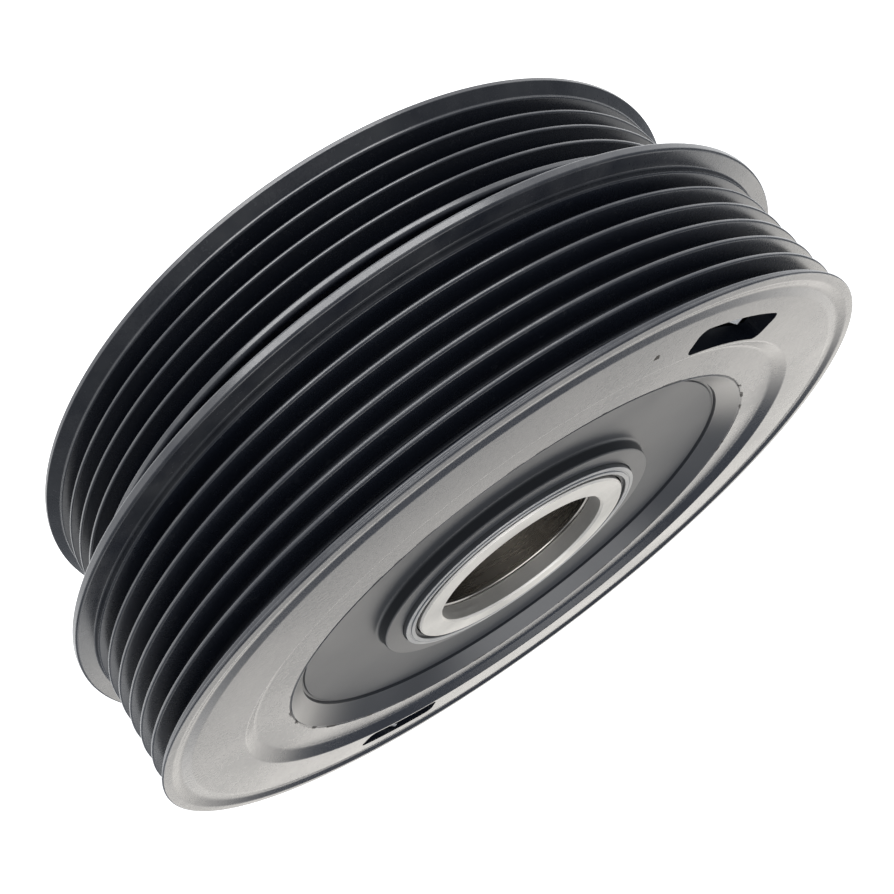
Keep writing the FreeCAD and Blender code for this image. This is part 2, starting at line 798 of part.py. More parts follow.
def terminal_socket():
    """Recessed two-way socket in the mounting plate for the coil's supply."""
    body = new_body("terminal_socket")
    half_x, half_y = dim.socket_breadth / 2, dim.socket_length / 2
    block = new_sketch(body, "BlockOutline", "XY_Plane", dim.socket_rim)
    draw_box(block, (dim.fixing_circle, 0), half_x, half_y)
    pad(body, block, dim.shell_back_top - dim.socket_rim, "Block")
    cavity = new_sketch(body, "CavityOutline", "XY_Plane", dim.socket_rim)
    draw_box(cavity, (dim.fixing_circle, 0), half_x - dim.socket_wall, half_y - dim.socket_wall)
    pocket(body, cavity, dim.socket_roof - dim.socket_rim, "Cavity")
    slots = new_sketch(body, "SlotOutline", "XY_Plane", dim.socket_roof)
    for centre in pin_centres():
        draw_box(slots, centre, dim.pin_breadth / 2, dim.pin_length / 2)
    body.Tip = pocket(body, slots, dim.shell_back_top - dim.socket_roof, "PinSlots")
    turn_body(body, dim.socket_angle)


def terminal_pins():
    body = new_body("terminal_pins")
    outline = new_sketch(body, "PinOutline", "XY_Plane", dim.pin_tip)
    for centre in pin_centres():
        draw_box(outline, centre, dim.pin_breadth / 2, dim.pin_length / 2)
    pad(body, outline, dim.shell_back_top - dim.pin_tip, "Pins")
    turn_body(body, dim.socket_angle)


def front_spacer(bottom):
    """Hardened collar on top of the bearing stack; the dust seal runs on it."""
    body = new_body("front_spacer_ring")
    chamfer = dim.ring_chamfer
    top = dim.front_spacer_top
    revolve(body, [
        (dim.bore_radius + chamfer, bottom),
        (dim.front_spacer_radius, bottom),
        (dim.front_spacer_radius, top - chamfer),
        (dim.front_spacer_radius - chamfer, top),
        (dim.bore_radius + chamfer, top),
        (dim.bore_radius, top - chamfer),
        (dim.bore_radius, bottom + chamfer),
    ])


# ---------------------------------------------------------------- rear pulley and rotor

def arc_slots(body, radius, bottom, depth, span, count, width, name, turn=None):
    sketch = new_sketch(body, f"{name}Outline", "XY_Plane", bottom, turn)
    draw_arc_slot(sketch, radius, radius + width, span)
    polar(body, [pocket(body, sketch, depth, name)], count, f"{name}Pattern")


def rotor(heights):
    """Hub, both pole walls and the slotted friction face, one turned piece."""
    body = new_body("rotor")
    groove_bottom = heights.outer_top
    lip_bottom = heights.outer_bottom - dim.hub_lip_width
    hub_end = heights.outer_top + dim.snap_width + dim.hub_end_margin
    revolve(body, [
        (dim.hub_lip_radius, lip_bottom),
        (dim.rotor_pole_radius, lip_bottom),
        (dim.rotor_pole_radius, dim.rotor_face_rear),
        (dim.rotor_wall_inner, dim.rotor_face_rear),
        (dim.rotor_wall_inner, dim.rotor_rear),
        (dim.rotor_radius, dim.rotor_rear),
        (dim.rotor_radius, dim.rotor_face),
        (dim.lining_outer_radius, dim.rotor_face),
        (dim.lining_outer_radius, dim.rotor_face - dim.lining_depth),
        (dim.lining_inner_radius, dim.rotor_face - dim.lining_depth),
        (dim.lining_inner_radius, dim.rotor_face),
        (dim.rotor_throat_radius, dim.rotor_face),
        (dim.rotor_throat_radius, hub_end),
        (dim.bearing_radius, hub_end),
        (dim.bearing_radius, groove_bottom + dim.snap_width),
        (dim.snap_groove_radius, groove_bottom + dim.snap_width),
        (dim.snap_groove_radius, groove_bottom),
        (dim.bearing_radius, groove_bottom),
        (dim.bearing_radius, heights.outer_bottom),
        (dim.hub_lip_radius, heights.outer_bottom),
    ])
    depth = dim.rotor_face - dim.rotor_face_rear
    for name, radius in (("InnerSlot", dim.inner_slot_radius), ("OuterSlot", dim.outer_slot_radius)):
        arc_slots(body, radius, dim.rotor_face_rear, depth, dim.slot_span, ROTOR_SLOT_COUNT,
                  dim.slot_width, name)


def friction_lining():
    ring("friction_lining", dim.lining_inner_radius, dim.lining_outer_radius,
         dim.rotor_face - dim.lining_depth, dim.rotor_face)


def rear_pulley():
    """Ribbed ring with a low rear flange, relieved from behind, welded round the rotor."""
    body = new_body("rear_pulley")
    turned = revolve(body, [
        (dim.rotor_radius, 0),
        (dim.relief_inner_radius, 0),
        (dim.relief_inner_radius, dim.relief_depth),
        (dim.relief_outer_radius, dim.relief_depth),
        (dim.relief_outer_radius, 0),
        (dim.rear_flange_radius - dim.rear_flange_setback, 0),
        (dim.rear_flange_radius, dim.rear_flange_edge),
        (dim.rear_flange_radius, dim.rear_flange_top),
        (dim.rear_tip_radius, dim.rear_flange_foot),
        (dim.rear_tip_radius, dim.rear_rim_top),
        (dim.rotor_radius, dim.rear_rim_top),
    ])
    round_edges(body, turned, [(dim.rear_tip_radius, dim.rear_rim_top)], dim.rear_rim_round)
    cut_grooves(body, dim.rear_tip_radius, dim.rear_first_groove, REAR_GROOVES)


# ---------------------------------------------------------------- front pulley

def front_pulley():
    """Ribbed rim with its tall inner flange and the face disc with two windows."""
    body = new_body("front_pulley")
    web = dim.web_thickness
    turned = revolve(body, [
        (dim.seam_radius, dim.step_top - web),
        (dim.step_inner_radius, dim.step_top - web),
        (dim.step_outer_radius, dim.face_top - web),
        (dim.drum_radius, dim.face_top - web),
        (dim.drum_radius, dim.front_rim_bottom),
        (dim.shoulder_radius, dim.front_rim_bottom),
        (dim.shoulder_radius, dim.flange_rear),
        (dim.flange_radius, dim.flange_rear),
        (dim.flange_radius, dim.flange_front),
        (dim.front_tip_radius, dim.flange_foot),
        (dim.front_tip_radius, dim.rim_land_top),
        (dim.lip_radius, dim.lip_bottom),
        (dim.lip_radius, dim.lip_top),
        (dim.lip_inner_radius, dim.lip_top),
        (dim.face_groove_radius, dim.face_groove_bottom),
        (dim.face_outer_radius, dim.face_top),
        (dim.step_outer_radius, dim.face_top),
        (dim.step_inner_radius, dim.step_top),
        (dim.seam_radius + dim.seam_chamfer, dim.step_top),
        (dim.seam_radius, dim.step_top - dim.seam_chamfer),
    ])
    flange_edges = [(dim.flange_radius, dim.flange_rear), (dim.flange_radius, dim.flange_front)]
    flange = round_edges(body, turned, flange_edges, dim.flange_round, "FlangeRounds")
    lip = round_edges(body, flange, [(dim.lip_radius, dim.lip_top)], dim.lip_round, "LipRound")
    step_edges = [(dim.step_outer_radius, dim.face_top), (dim.step_inner_radius, dim.step_top)]
    step = round_edges(body, lip, step_edges, dim.step_round, "StepRounds")
    drum_corner = [(dim.drum_radius, dim.face_top - web)]
    round_edges(body, step, drum_corner, dim.drum_round, "DrumRound")
    cut_grooves(body, dim.front_tip_radius, dim.front_first_groove, FRONT_GROOVES)
    sketch = new_sketch(body, "WindowOutline", "XY_Plane", dim.face_top - web)
    draw_arc_slot(sketch, dim.window_inner_radius, dim.window_outer_radius, dim.window_span)
    window = pocket(body, sketch, web, "Window")
    polar(body, [window], WINDOW_COUNT, "Windows")


def front_hub(heights):
    """Pressed bowl with its boss, set into the face disc, and the neck that holds the bearing."""
    body = new_body("front_hub")
    thickness = dim.bowl_thickness
    lip_top = heights.outer_top + dim.hub_lip_width
    snap_bottom = heights.outer_bottom - dim.snap_width
    hub_end = snap_bottom - dim.hub_end_margin
    turned = revolve(body, [
        (dim.bearing_radius, hub_end),
        (dim.neck_radius, hub_end),
        (dim.neck_radius, dim.bowl_foot_height - thickness),
        (dim.bowl_corner_radius + dim.bowl_round, dim.bowl_corner_height - thickness),
        (dim.seam_radius, dim.step_top - dim.web_thickness),
        (dim.seam_radius, dim.step_top - dim.seam_chamfer),
        (dim.seam_radius - dim.seam_chamfer, dim.step_top),
        (dim.bowl_corner_radius, dim.bowl_corner_height),
        (dim.bowl_foot_radius, dim.bowl_foot_height),
        (dim.boss_radius, dim.boss_top),
        (dim.bearing_radius, dim.boss_top),
        (dim.bearing_radius, lip_top),
        (dim.hub_lip_radius, lip_top),
        (dim.hub_lip_radius, heights.outer_top),
        (dim.bearing_radius, heights.outer_top),
        (dim.bearing_radius, heights.outer_bottom),
        (dim.snap_groove_radius, heights.outer_bottom),
        (dim.snap_groove_radius, snap_bottom),
        (dim.bearing_radius, snap_bottom),
    ])
    corners = [(dim.bowl_corner_radius, dim.bowl_corner_height), (dim.bowl_foot_radius, dim.bowl_foot_height)]
    bowl = round_edges(body, turned, corners, dim.bowl_round, "BowlRounds")
    round_edges(body, bowl, [(dim.boss_radius, dim.boss_top)], dim.boss_round, "BossRound")


def dust_seal(heights):
    """Pressed steel case with a rubber lip that runs on the front spacer."""
    bottom = heights.outer_top + dim.hub_lip_width
    top = dim.dust_case_top
    outer = dim.bearing_radius
    wall = outer - dim.dust_case_wall
    roof = top - dim.dust_case_roof
    case = new_body("dust_seal_case")
    revolve(case, [(wall, bottom), (outer, bottom), (outer, top), (dim.dust_case_inner_radius, top),
                   (dim.dust_case_inner_radius, roof), (wall, roof)])
    lip = new_body("dust_seal_lip")
    revolve(lip, [(dim.dust_case_inner_radius, dim.dust_lip_bottom), (wall, dim.dust_lip_bottom),
                  (wall, roof), (dim.dust_lip_radius, roof),
                  (dim.dust_case_inner_radius, dim.dust_lip_heel)])


def spring_carrier():
    """Flat ring under the face disc; two pointed tabs hook into the windows."""
    body = new_body("spring_carrier")
    top = dim.step_top - dim.web_thickness
    inner, outer = dim.carrier_inner_radius, dim.carrier_radius
    bottom = dim.carrier_bottom
    revolve(body, [(inner, bottom), (outer, bottom), (outer, top), (inner, top)])
    sketch = new_sketch(body, "TabOutline", "YZ_Plane", dim.tab_inner_radius)
    half = dim.tab_half_width
    draw_outline(sketch, [(-half, bottom), (half, bottom), (half, dim.tab_shoulder),
                          (Size(0), dim.tab_point), (-half, dim.tab_shoulder)])
    tab = pad(body, sketch, dim.tab_thickness, "Tab")
    polar(body, [tab], WINDOW_COUNT, "Tabs")
    body.Tip = drill(body, spring_points(dim.first_spring_angle), dim.rivet_radius, bottom,
                     top - bottom, "RivetHoles")


def spring_points(first):
    """Three points on the spring circle, the first at the given angle."""
    return [around(dim.spring_circle, first + Size(FULL_TURN * index / SPRING_COUNT))
            for index in range(SPRING_COUNT)]


def carrier_rivets():
    """Shouldered rivets that hang one end of each leaf spring from the carrier."""
    body = new_body("carrier_rivets")
    spring_bottom = armature_top() + dim.collar_height
    spring_top = spring_bottom + dim.spring_thickness
    head_bottom = spring_bottom - dim.rivet_head_height
    rivet = turned_about(body, dim.spring_circle, [
        (Size(0), head_bottom),
        (dim.rivet_head_radius, head_bottom),
        (dim.rivet_head_radius, spring_bottom),
        (dim.rivet_radius, spring_bottom),
        (dim.rivet_radius, spring_top),
        (dim.collar_radius, spring_top),
        (dim.collar_radius, dim.carrier_bottom),
        (dim.rivet_radius, dim.carrier_bottom),
        (dim.rivet_radius, dim.step_top - dim.web_thickness),
        (Size(0), dim.step_top - dim.web_thickness),
    ], "Rivet")
    polar(body, [rivet], SPRING_COUNT, "Rivets")
    turn_body(body, dim.first_spring_angle)


def bumpers():
    """Rubber buttons that stop the armature when the coil lets go."""
    body = new_body("bumpers")
    sketch = new_sketch(body, "ButtonCircle", "XY_Plane", armature_top() + dim.bumper_gap)
    draw_circle(sketch, dim.bumper_radius, (dim.spring_circle, 0))
    button = pad(body, sketch, dim.carrier_bottom - armature_top() - dim.bumper_gap, "Button")
    polar(body, [button], SPRING_COUNT, "Buttons")
    turn_body(body, dim.first_spring_angle + dim.bumper_span)


# ---------------------------------------------------------------- armature

def armature_top():
    return dim.armature_rear + dim.armature_thickness


def armature_plate():
    """Steel disc that the coil pulls on to the rotor face."""
    body = new_body("armature_plate")
    inner, outer = dim.armature_inner_radius, dim.armature_radius
    rear = dim.armature_rear
    top = armature_top()
    revolve(body, [(inner, rear), (outer, rear), (outer, top), (inner, top)])
    arc_slots(body, dim.armature_slot_radius, rear, dim.armature_thickness, dim.armature_slot_span,
              SPRING_COUNT, dim.armature_slot_width, "FluxSlot", dim.spring_span)
    drill(body, spring_points(Size(0)), dim.head_clearance_radius, rear, dim.armature_thickness,
          "HeadClearance")
    body.Tip = drill(body, spring_points(dim.spring_span), dim.rivet_radius, rear,
                     dim.armature_thickness, "RivetHoles")
    turn_body(body, dim.first_spring_angle)


def armature_rivets():
    """Rivets through the armature with a collar that holds the spring just clear of it."""
    body = new_body("armature_rivets")
    top = armature_top()
    spring_bottom = top + dim.collar_height
    spring_top = spring_bottom + dim.spring_thickness
    rivet = turned_about(body, dim.spring_circle, [
        (Size(0), dim.armature_rear),
        (dim.rivet_radius, dim.armature_rear),
        (dim.rivet_radius, top),
        (dim.collar_radius, top),
        (dim.collar_radius, spring_bottom),
        (dim.rivet_radius, spring_bottom),
        (dim.rivet_radius, spring_top),
        (dim.rivet_head_radius, spring_top),
        (dim.rivet_head_radius, spring_top + dim.rivet_head_height),
        (Size(0), spring_top + dim.rivet_head_height),
    ], "Rivet")
    polar(body, [rivet], SPRING_COUNT, "Rivets")
    turn_body(body, dim.first_spring_angle + dim.spring_span)


def leaf_springs():
    """Straight steel strips from the carrier rivets to the armature rivets."""
    body = new_body("leaf_springs")
    middle, reach = around(dim.spring_circle, dim.spring_span / 2)
    bottom = armature_top() + dim.collar_height
    sketch = new_sketch(body, "StripOutline", "XY_Plane", bottom)
    draw_link(sketch, middle, reach, dim.spring_half_width)
    for side in (reach, -reach):
        draw_circle(sketch, dim.rivet_radius, (middle, side))
    strip = pad(body, sketch, dim.spring_thickness, "Strip")
    polar(body, [strip], SPRING_COUNT, "Strips")
    turn_body(body, dim.first_spring_angle + dim.spring_span / 2)


# ---------------------------------------------------------------- assembly

def build_all():
    rear = bearing_sizes(dim.seat_top)
    front = bearing_sizes(dim.neck_spacer_top)
    coil_plate()
    plate_screws()
    coil_shell()
    coil_bobbin()
    coil_winding()
    coil_potting()
    terminal_socket()
    terminal_pins()
    make_bearing("rear", rear)
    ring("neck_spacer", dim.bore_radius, dim.seat_radius, rear.top, front.bottom)
    make_bearing("front", front)
    front_spacer(front.top)
    rotor(rear)
    friction_lining()
    rear_pulley()
    snap_ring("rear_snap_ring", rear.outer_top)
    front_pulley()
    front_hub(front)
    snap_ring("front_snap_ring", front.outer_bottom - dim.snap_width)
    dust_seal(front)
    spring_carrier()
    carrier_rivets()
    bumpers()
    armature_plate()
    armature_rivets()
    leaf_springs()


def check_document():
    """Stop if any object failed or any sub-part has no valid shape."""
    doc.recompute()
    for item in doc.Objects:
        failed = [word for word in item.State if word in ("Invalid", "Error")]
        if failed:
            raise RuntimeError(f"{item.Name} ({item.TypeId}) is {failed}")
    for item in subparts:
        if item.Shape.isNull() or not item.Shape.isValid():
            raise RuntimeError(f"{item.Label} has no valid shape")


def export_all():
    os.makedirs("parts", exist_ok=True)
    for item in subparts:
        item.Shape.exportStep(os.path.join("parts", f"{item.Label}.step"))
        box = item.Shape.BoundBox
        print(f"{item.Label}: {len(item.Shape.Solids)} solids, {item.Shape.Volume:.0f} mm3, "
              f"x {box.XMin:.2f}..{box.XMax:.2f}, z {box.ZMin:.2f}..{box.ZMax:.2f}")


build_all()
check_document()
export_all()
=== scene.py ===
"""Looks of the electromagnetic clutch: studio, camera, turned pieces and their finishes."""
import math

import bpy
from mathutils import Matrix, Vector


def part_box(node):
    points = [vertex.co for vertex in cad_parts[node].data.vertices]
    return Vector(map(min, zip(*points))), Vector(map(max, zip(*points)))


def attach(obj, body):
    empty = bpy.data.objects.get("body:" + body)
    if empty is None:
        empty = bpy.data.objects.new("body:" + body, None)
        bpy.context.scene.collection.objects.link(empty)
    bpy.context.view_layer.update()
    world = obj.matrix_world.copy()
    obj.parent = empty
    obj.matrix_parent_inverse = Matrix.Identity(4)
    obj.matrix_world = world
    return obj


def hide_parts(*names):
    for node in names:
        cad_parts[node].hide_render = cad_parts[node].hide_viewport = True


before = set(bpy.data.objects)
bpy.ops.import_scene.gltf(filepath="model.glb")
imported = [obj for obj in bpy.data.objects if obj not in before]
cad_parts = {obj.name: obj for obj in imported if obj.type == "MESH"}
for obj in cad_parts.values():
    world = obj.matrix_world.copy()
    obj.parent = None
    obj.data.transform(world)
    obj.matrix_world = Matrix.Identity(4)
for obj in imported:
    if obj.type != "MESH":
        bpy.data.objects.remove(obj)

MM = 0.001
FULL = 2 * math.pi
SEGMENTS = 720
ARC_STEP = math.radians(15)
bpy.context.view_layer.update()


# ---------------------------------------------------------------- shared sizes, in millimetres

FRONT_TIP = 70.35
REAR_TIP = 66.0
BORE = 17.5
SEAM = 48.3
SLOPE_FOOT = 44.4
FACE_DROP = 0.35
STEP_DROP = 1.7
WEB = 3.0
STEP_OUTER = 57.0
STEP_INNER = 54.8
STEP_ROUND = 1.6
EDGE = 0.25


# ---------------------------------------------------------------- sizes read from the frame

def bottom(node):
    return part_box(node)[0].z / MM


def top(node):
    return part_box(node)[1].z / MM


def reach(node):
    """Largest radius of a node turned about the axis."""
    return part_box(node)[1].y / MM


# ---------------------------------------------------------------- turned pieces

def unit(x, y):
    length = math.hypot(x, y)
    return x / length, y / length


def signed_area(corners):
    area = 0.0
    for index, (r, z, _) in enumerate(corners):
        before = corners[index - 1]
        area += before[0] * z - r * before[1]
    return area


def corner_points(before, corner, after):
    """Points of one corner of an outline, rounded if it has a radius, with their normals."""
    r, z, rounding = corner
    in_r, in_z = unit(r - before[0], z - before[1])
    out_r, out_z = unit(after[0] - r, after[1] - z)
    turn = math.atan2(in_r * out_z - in_z * out_r, in_r * out_r + in_z * out_z)
    if rounding == 0 or abs(turn) < math.radians(1):
        return [(r, z, (in_z, -in_r), (out_z, -out_r))]
    tangent = rounding * math.tan(abs(turn) / 2)
    room = 0.49 * min(math.dist(before[:2], corner[:2]), math.dist(after[:2], corner[:2]))
    radius = rounding * min(1.0, room / tangent)
    tangent = min(tangent, room)
    side = math.copysign(1, turn)
    centre_r = r - in_r * tangent - in_z * side * radius
    centre_z = z - in_z * tangent + in_r * side * radius
    heading = math.atan2(in_z, in_r)
    steps = max(2, math.ceil(abs(turn) / ARC_STEP))
    points = []
    for step in range(steps + 1):
        now = heading + turn * step / steps
        normal = (math.sin(now), -math.cos(now))
        points.append((centre_r + normal[0] * side * radius,
                       centre_z + normal[1] * side * radius, normal, normal))
    return points


def dense_outline(corners):
    """Closed outline run so that the solid is on its left, each corner that has a radius rounded.
    """
    ring = corners if signed_area(corners) > 0 else corners[::-1]
    points = []
    for index, corner in enumerate(ring):
        points += corner_points(ring[index - 1], corner, ring[(index + 1) % len(ring)])
    return points


class Turning:
    """Mesh of an outline turned about the axis, with exact normals."""

    def __init__(self, corners, segments=SEGMENTS):
        self.outline = dense_outline(corners)
        self.segments = segments
        self.points = []
        self.faces = []
        self.normals = []
        for step in range(segments):
            self.points += [self.place(r, self.angle(step), z) for r, z, _, _ in self.outline]

    def angle(self, step):
        return FULL * step / self.segments

    @staticmethod
    def place(r, angle, z):
        return (r * MM * math.cos(angle), r * MM * math.sin(angle), z * MM)

    def index(self, step, row):
        rows = len(self.outline)
        return (step % self.segments) * rows + row % rows

    def row_at(self, radius, height):
        """Number of the outline point nearest a radius and height."""
        gaps = [math.hypot(r - radius, z - height) for r, z, _, _ in self.outline]
        return gaps.index(min(gaps))

    def spun(self, normal, step):
        angle = self.angle(step)
        return (normal[0] * math.cos(angle), normal[0] * math.sin(angle), normal[1])

    def skin(self, skipped=lambda step, row: False):
        """Faces between neighbouring outline points all the way round, except the skipped ones."""
        rows = len(self.outline)
        for step in range(self.segments):
            for row in range(rows):
                if skipped(step, row):
                    continue
                leaving = self.outline[row][3]
                arriving = self.outline[(row + 1) % rows][2]
                self.faces.append((self.index(step, row), self.index(step + 1, row),
                                   self.index(step + 1, row + 1), self.index(step, row + 1)))
                self.normals += [self.spun(leaving, step), self.spun(leaving, step + 1),
                                 self.spun(arriving, step + 1), self.spun(arriving, step)]

    def add_face(self, face, normals):
        self.faces.append(face)
        self.normals += normals

    def add_point(self, r, angle, z):
        self.points.append(self.place(r, angle, z))
        return len(self.points) - 1

    def finish(self, name):
        mesh = bpy.data.meshes.new(name)
        mesh.from_pydata(self.points, [], self.faces)
        mesh.polygons.foreach_set("use_smooth", [True] * len(mesh.polygons))
        mesh.normals_split_custom_set(self.normals)
        piece = bpy.data.objects.new(name, mesh)
        bpy.context.scene.collection.objects.link(piece)
        return piece


def turned(name, corners, segments=SEGMENTS):
    turning = Turning(corners, segments)
    turning.skin()
    return turning.finish(name)


def install(piece, node, body, finish):
    """Put a detailed piece in place of its CAD node."""
    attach(piece, body)
    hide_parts(node)
    piece.data.materials.append(finish)
    return piece


# ---------------------------------------------------------------- ribbed outline

RIB_PITCH = 3.56
RIB_FLANK = math.radians(20)
RIB_TIP_ROUND = 0.35
RIB_ROOT_ROUND = 0.45
RIB_HALF_WIDTH = 1.73


def ribs(tip_radius, first_height, count):
    """Outline corners of a run of vee grooves, from the lowest upwards."""
    half = RIB_HALF_WIDTH - RIB_TIP_ROUND * math.tan((math.pi / 2 - RIB_FLANK) / 2)
    depth = half / math.tan(RIB_FLANK)
    corners = []
    for index in range(count):
        height = first_height + RIB_PITCH * index
        corners += [(tip_radius, height - half, RIB_TIP_ROUND),
                    (tip_radius - depth, height, RIB_ROOT_ROUND),
                    (tip_radius, height + half, RIB_TIP_ROUND)]
    return corners


# ---------------------------------------------------------------- windows of the face disc

WINDOW_INNER = 57.5
WINDOW_OUTER = 62.8
WINDOW_HALF = math.radians(9.5)
WINDOW_ROUND = 1.5
PATCH_INNER = 57.46
PATCH_OUTER = 62.95
PATCH_HALF = math.radians(11)
PATCH_ROWS = 10
CORNER_STEPS = 3


def patch_radii():
    return [PATCH_INNER + (PATCH_OUTER - PATCH_INNER) * row / PATCH_ROWS
            for row in range(PATCH_ROWS + 1)]


def rounded_side(start, end, incoming, along, outgoing, count):
    """One side of the window with half of the rounded corner at each end."""
    def corner(place, arriving, leaving, sweep):
        shift_r = WINDOW_ROUND * (leaving[0] * (1 - math.cos(sweep))
                                  - arriving[0] * (1 - math.sin(sweep)))
        shift_s = WINDOW_ROUND * (leaving[1] * (1 - math.cos(sweep))
                                  - arriving[1] * (1 - math.sin(sweep)))
        return place[0] + shift_r, place[1] + shift_s / place[0]

    first = corner(start, incoming, along, math.pi / 2)
    last = corner(end, along, outgoing, 0.0)
    straight = count - 2 * CORNER_STEPS
    points = []
    for step in range(count):
        if step < CORNER_STEPS:
            sweep = math.pi / 4 * (1 + step / CORNER_STEPS)
            points.append(corner(start, incoming, along, sweep))
        elif step <= count - CORNER_STEPS:
            share = (step - CORNER_STEPS) / straight
            points.append((first[0] + (last[0] - first[0]) * share,
                           first[1] + (last[1] - first[1]) * share))
        else:
            sweep = math.pi / 4 * (step - count + CORNER_STEPS) / CORNER_STEPS
            points.append(corner(end, along, outgoing, sweep))
    return points


def window_outline(steps):
    """Radius and angle of every point round one window, starting at its inner corner."""
    corners = [(WINDOW_INNER, -WINDOW_HALF), (WINDOW_INNER, WINDOW_HALF),
               (WINDOW_OUTER, WINDOW_HALF), (WINDOW_OUTER, -WINDOW_HALF)]
    headings = [(0, 1), (1, 0), (0, -1), (-1, 0)]
    counts = [steps, PATCH_ROWS, steps, PATCH_ROWS]
    outline = []
    for side in range(4):
        outline += rounded_side(corners[side], corners[(side + 1) % 4], headings[side - 1],
                                headings[side], headings[(side + 1) % 4], counts[side])
    return outline


def patch_border(turning, rows, first, steps):
    """Grid points round the patch that a window is cut in, in the window outline's order."""
    last = first + steps
    low, high = rows[0], rows[-1]
    border = [turning.index(step, low) for step in range(first, last)]
    border += [turning.index(last, row) for row in rows[:-1]]
    border += [turning.index(step, high) for step in range(last, first, -1)]
    border += [turning.index(first, row) for row in rows[:0:-1]]
    return border


def cut_window(turning, centre, face_rows, back_rows, face_height, back_height):
    """Fill the two patches round one window and wall it."""
    steps = round(2 * PATCH_HALF / FULL * turning.segments)
    middle = round(centre / FULL * turning.segments)
    outline = window_outline(steps)
    rims = []
    for rows, height, up in ((face_rows, face_height, 1.0), (back_rows, back_height, -1.0)):
        border = patch_border(turning, rows, middle - steps // 2, steps)
        rim = [turning.add_point(r, centre + angle, height) for r, angle in outline]
        for index in range(len(border)):
            ahead = (index + 1) % len(border)
            face = (border[index], rim[index], rim[ahead], border[ahead])
            turning.add_face(face if up > 0 else face[::-1], [(0, 0, up)] * 4)
        rims.append(rim)
    for index in range(len(outline)):
        ahead = (index + 1) % len(outline)
        face = (rims[0][index], rims[1][index], rims[1][ahead], rims[0][ahead])
        here, there = (Vector(turning.points[face[0]]), Vector(turning.points[face[3]]))
        wall = (there - here).cross(Vector((0, 0, 1))).normalized()
        turning.add_face(face, [tuple(wall)] * 4)


# ---------------------------------------------------------------- outlines of the turned pieces

def front_pulley_corners():
    """Ribbed rim, tall flange, shaded lip and the stepped face disc."""
    low, high = bottom("front_pulley"), top("front_pulley")
    flange = reach("front_pulley")
    tip, shoulder, drum, lip = FRONT_TIP, 67.4, 63.0, 70.8
    face, step = high - FACE_DROP, high - STEP_DROP
    back = face - WEB
    corners = [(SEAM, step - WEB, 0), (STEP_INNER, step - WEB, 0), (STEP_OUTER, back, 0)]
    corners += [(radius, back, 0) for radius in patch_radii()]
    corners += [(drum, back, 0), (drum, low, 0.3),
                (shoulder, low, 0.35), (shoulder, low + 3.3, 0.25),
                (flange, low + 3.3, 0.45), (flange, low + 4.9, 0.45), (tip, low + 5.2, 0.3)]
    corners += ribs(tip, low + 7.87, 6)
    corners += [(tip, high - 0.65, 0.2), (lip, high - 0.45, 0.12), (lip, high, 0.3),
                (69.3, high, 1.2), (67.9, high - 0.6, 1.6), (66.0, face, 3.0)]
    corners += [(radius, face, 0) for radius in patch_radii()[::-1]]
    corners += [(STEP_OUTER, face, STEP_ROUND), (STEP_INNER, step, STEP_ROUND),
                (SEAM + EDGE, step, 0.08), (SEAM, step - EDGE, 0)]
    return corners


def front_pulley():
    turning = Turning(front_pulley_corners())
    high = top("front_pulley")
    face = high - FACE_DROP
    back = face - WEB
    face_rows = [turning.row_at(radius, face) for radius in patch_radii()]
    back_rows = [turning.row_at(radius, back) for radius in patch_radii()]
    steps = round(2 * PATCH_HALF / FULL * turning.segments)
    half_turn = turning.segments // 2
    face_faces, back_faces = set(face_rows[1:]), set(back_rows[:-1])

    def in_window(step, row):
        across = (step + steps // 2) % half_turn < steps
        return across and (row in face_faces or row in back_faces)

    turning.skin(in_window)
    for centre in (0.0, math.pi):
        cut_window(turning, centre, face_rows, back_rows, face, back)
    return turning.finish("pulley_front")


def front_hub_corners():
    """Bowl with its boss, and the neck that holds the bearing."""
    seam, step = reach("front_hub"), top("front_hub")
    boss = bottom("dust_seal_case") + 2.3
    land = top("front_outer_ring")
    low = bottom("front_hub")
    bearing, neck, lip = 25.0, 27.6, 24.0
    snap_top, snap_low = top("front_snap_ring"), bottom("front_snap_ring")
    return [
        (bearing, low, 0.2), (neck, low, 0.3), (neck, 40.4, 0), (44.7, 41.7, 0), (seam, 44.3, 0),
        (seam, step - 0.25, 0), (seam - 0.25, step, 0.08), (44.75, 44.88, 0.15), (44.6, 44.2, 0.1),
        (44.2, 44.15, 0.1), (44.05, 44.49, 0.15), (29.0, 43.2, 0.6),
        (28.7, boss, 0.35), (bearing + 0.25, boss, 0.1), (bearing, boss - 0.25, 0.05),
        (bearing, land + 0.85, 0), (lip, land + 0.85, 0), (lip, land, 0), (bearing, land, 0),
        (bearing, snap_top, 0), (26.2, snap_top, 0), (26.2, snap_low, 0), (bearing, snap_low, 0),
    ]


def rear_pulley_corners():
    """Ribbed ring with a low flange, relieved from behind."""
    high = top("rear_pulley")
    flange = reach("rear_pulley")
    wall, tip = 56.0, REAR_TIP
    corners = [(wall, 0, 0.15), (57.8, 0, 0.25), (57.8, 13.0, 0.5),
               (60.6, 13.0, 0.5), (60.6, 0, 0.3),
               (flange - 2.2, 0, 0.3), (flange, 0.85, 0.25), (flange, 1.6, 0.25), (tip, 2.95, 0.3)]
    corners += ribs(tip, 4.94, 4)
    corners += [(tip, high, 0.8), (wall, high, 0)]
    return corners


def collar_corners():
    """Hardened collar at the mouth of the bore."""
    low, high = bottom("front_spacer_ring"), top("front_spacer_ring")
    outer = reach("front_spacer_ring")
    inner = BORE
    return [(inner + 0.35, low, 0.05), (outer, low, 0.1), (outer, high - 0.35, 0.2),
            (outer - 0.35, high, 0.12), (inner + 0.4, high, 0.12), (inner, high - 0.4, 0.2),
            (inner, low + 0.35, 0.1)]


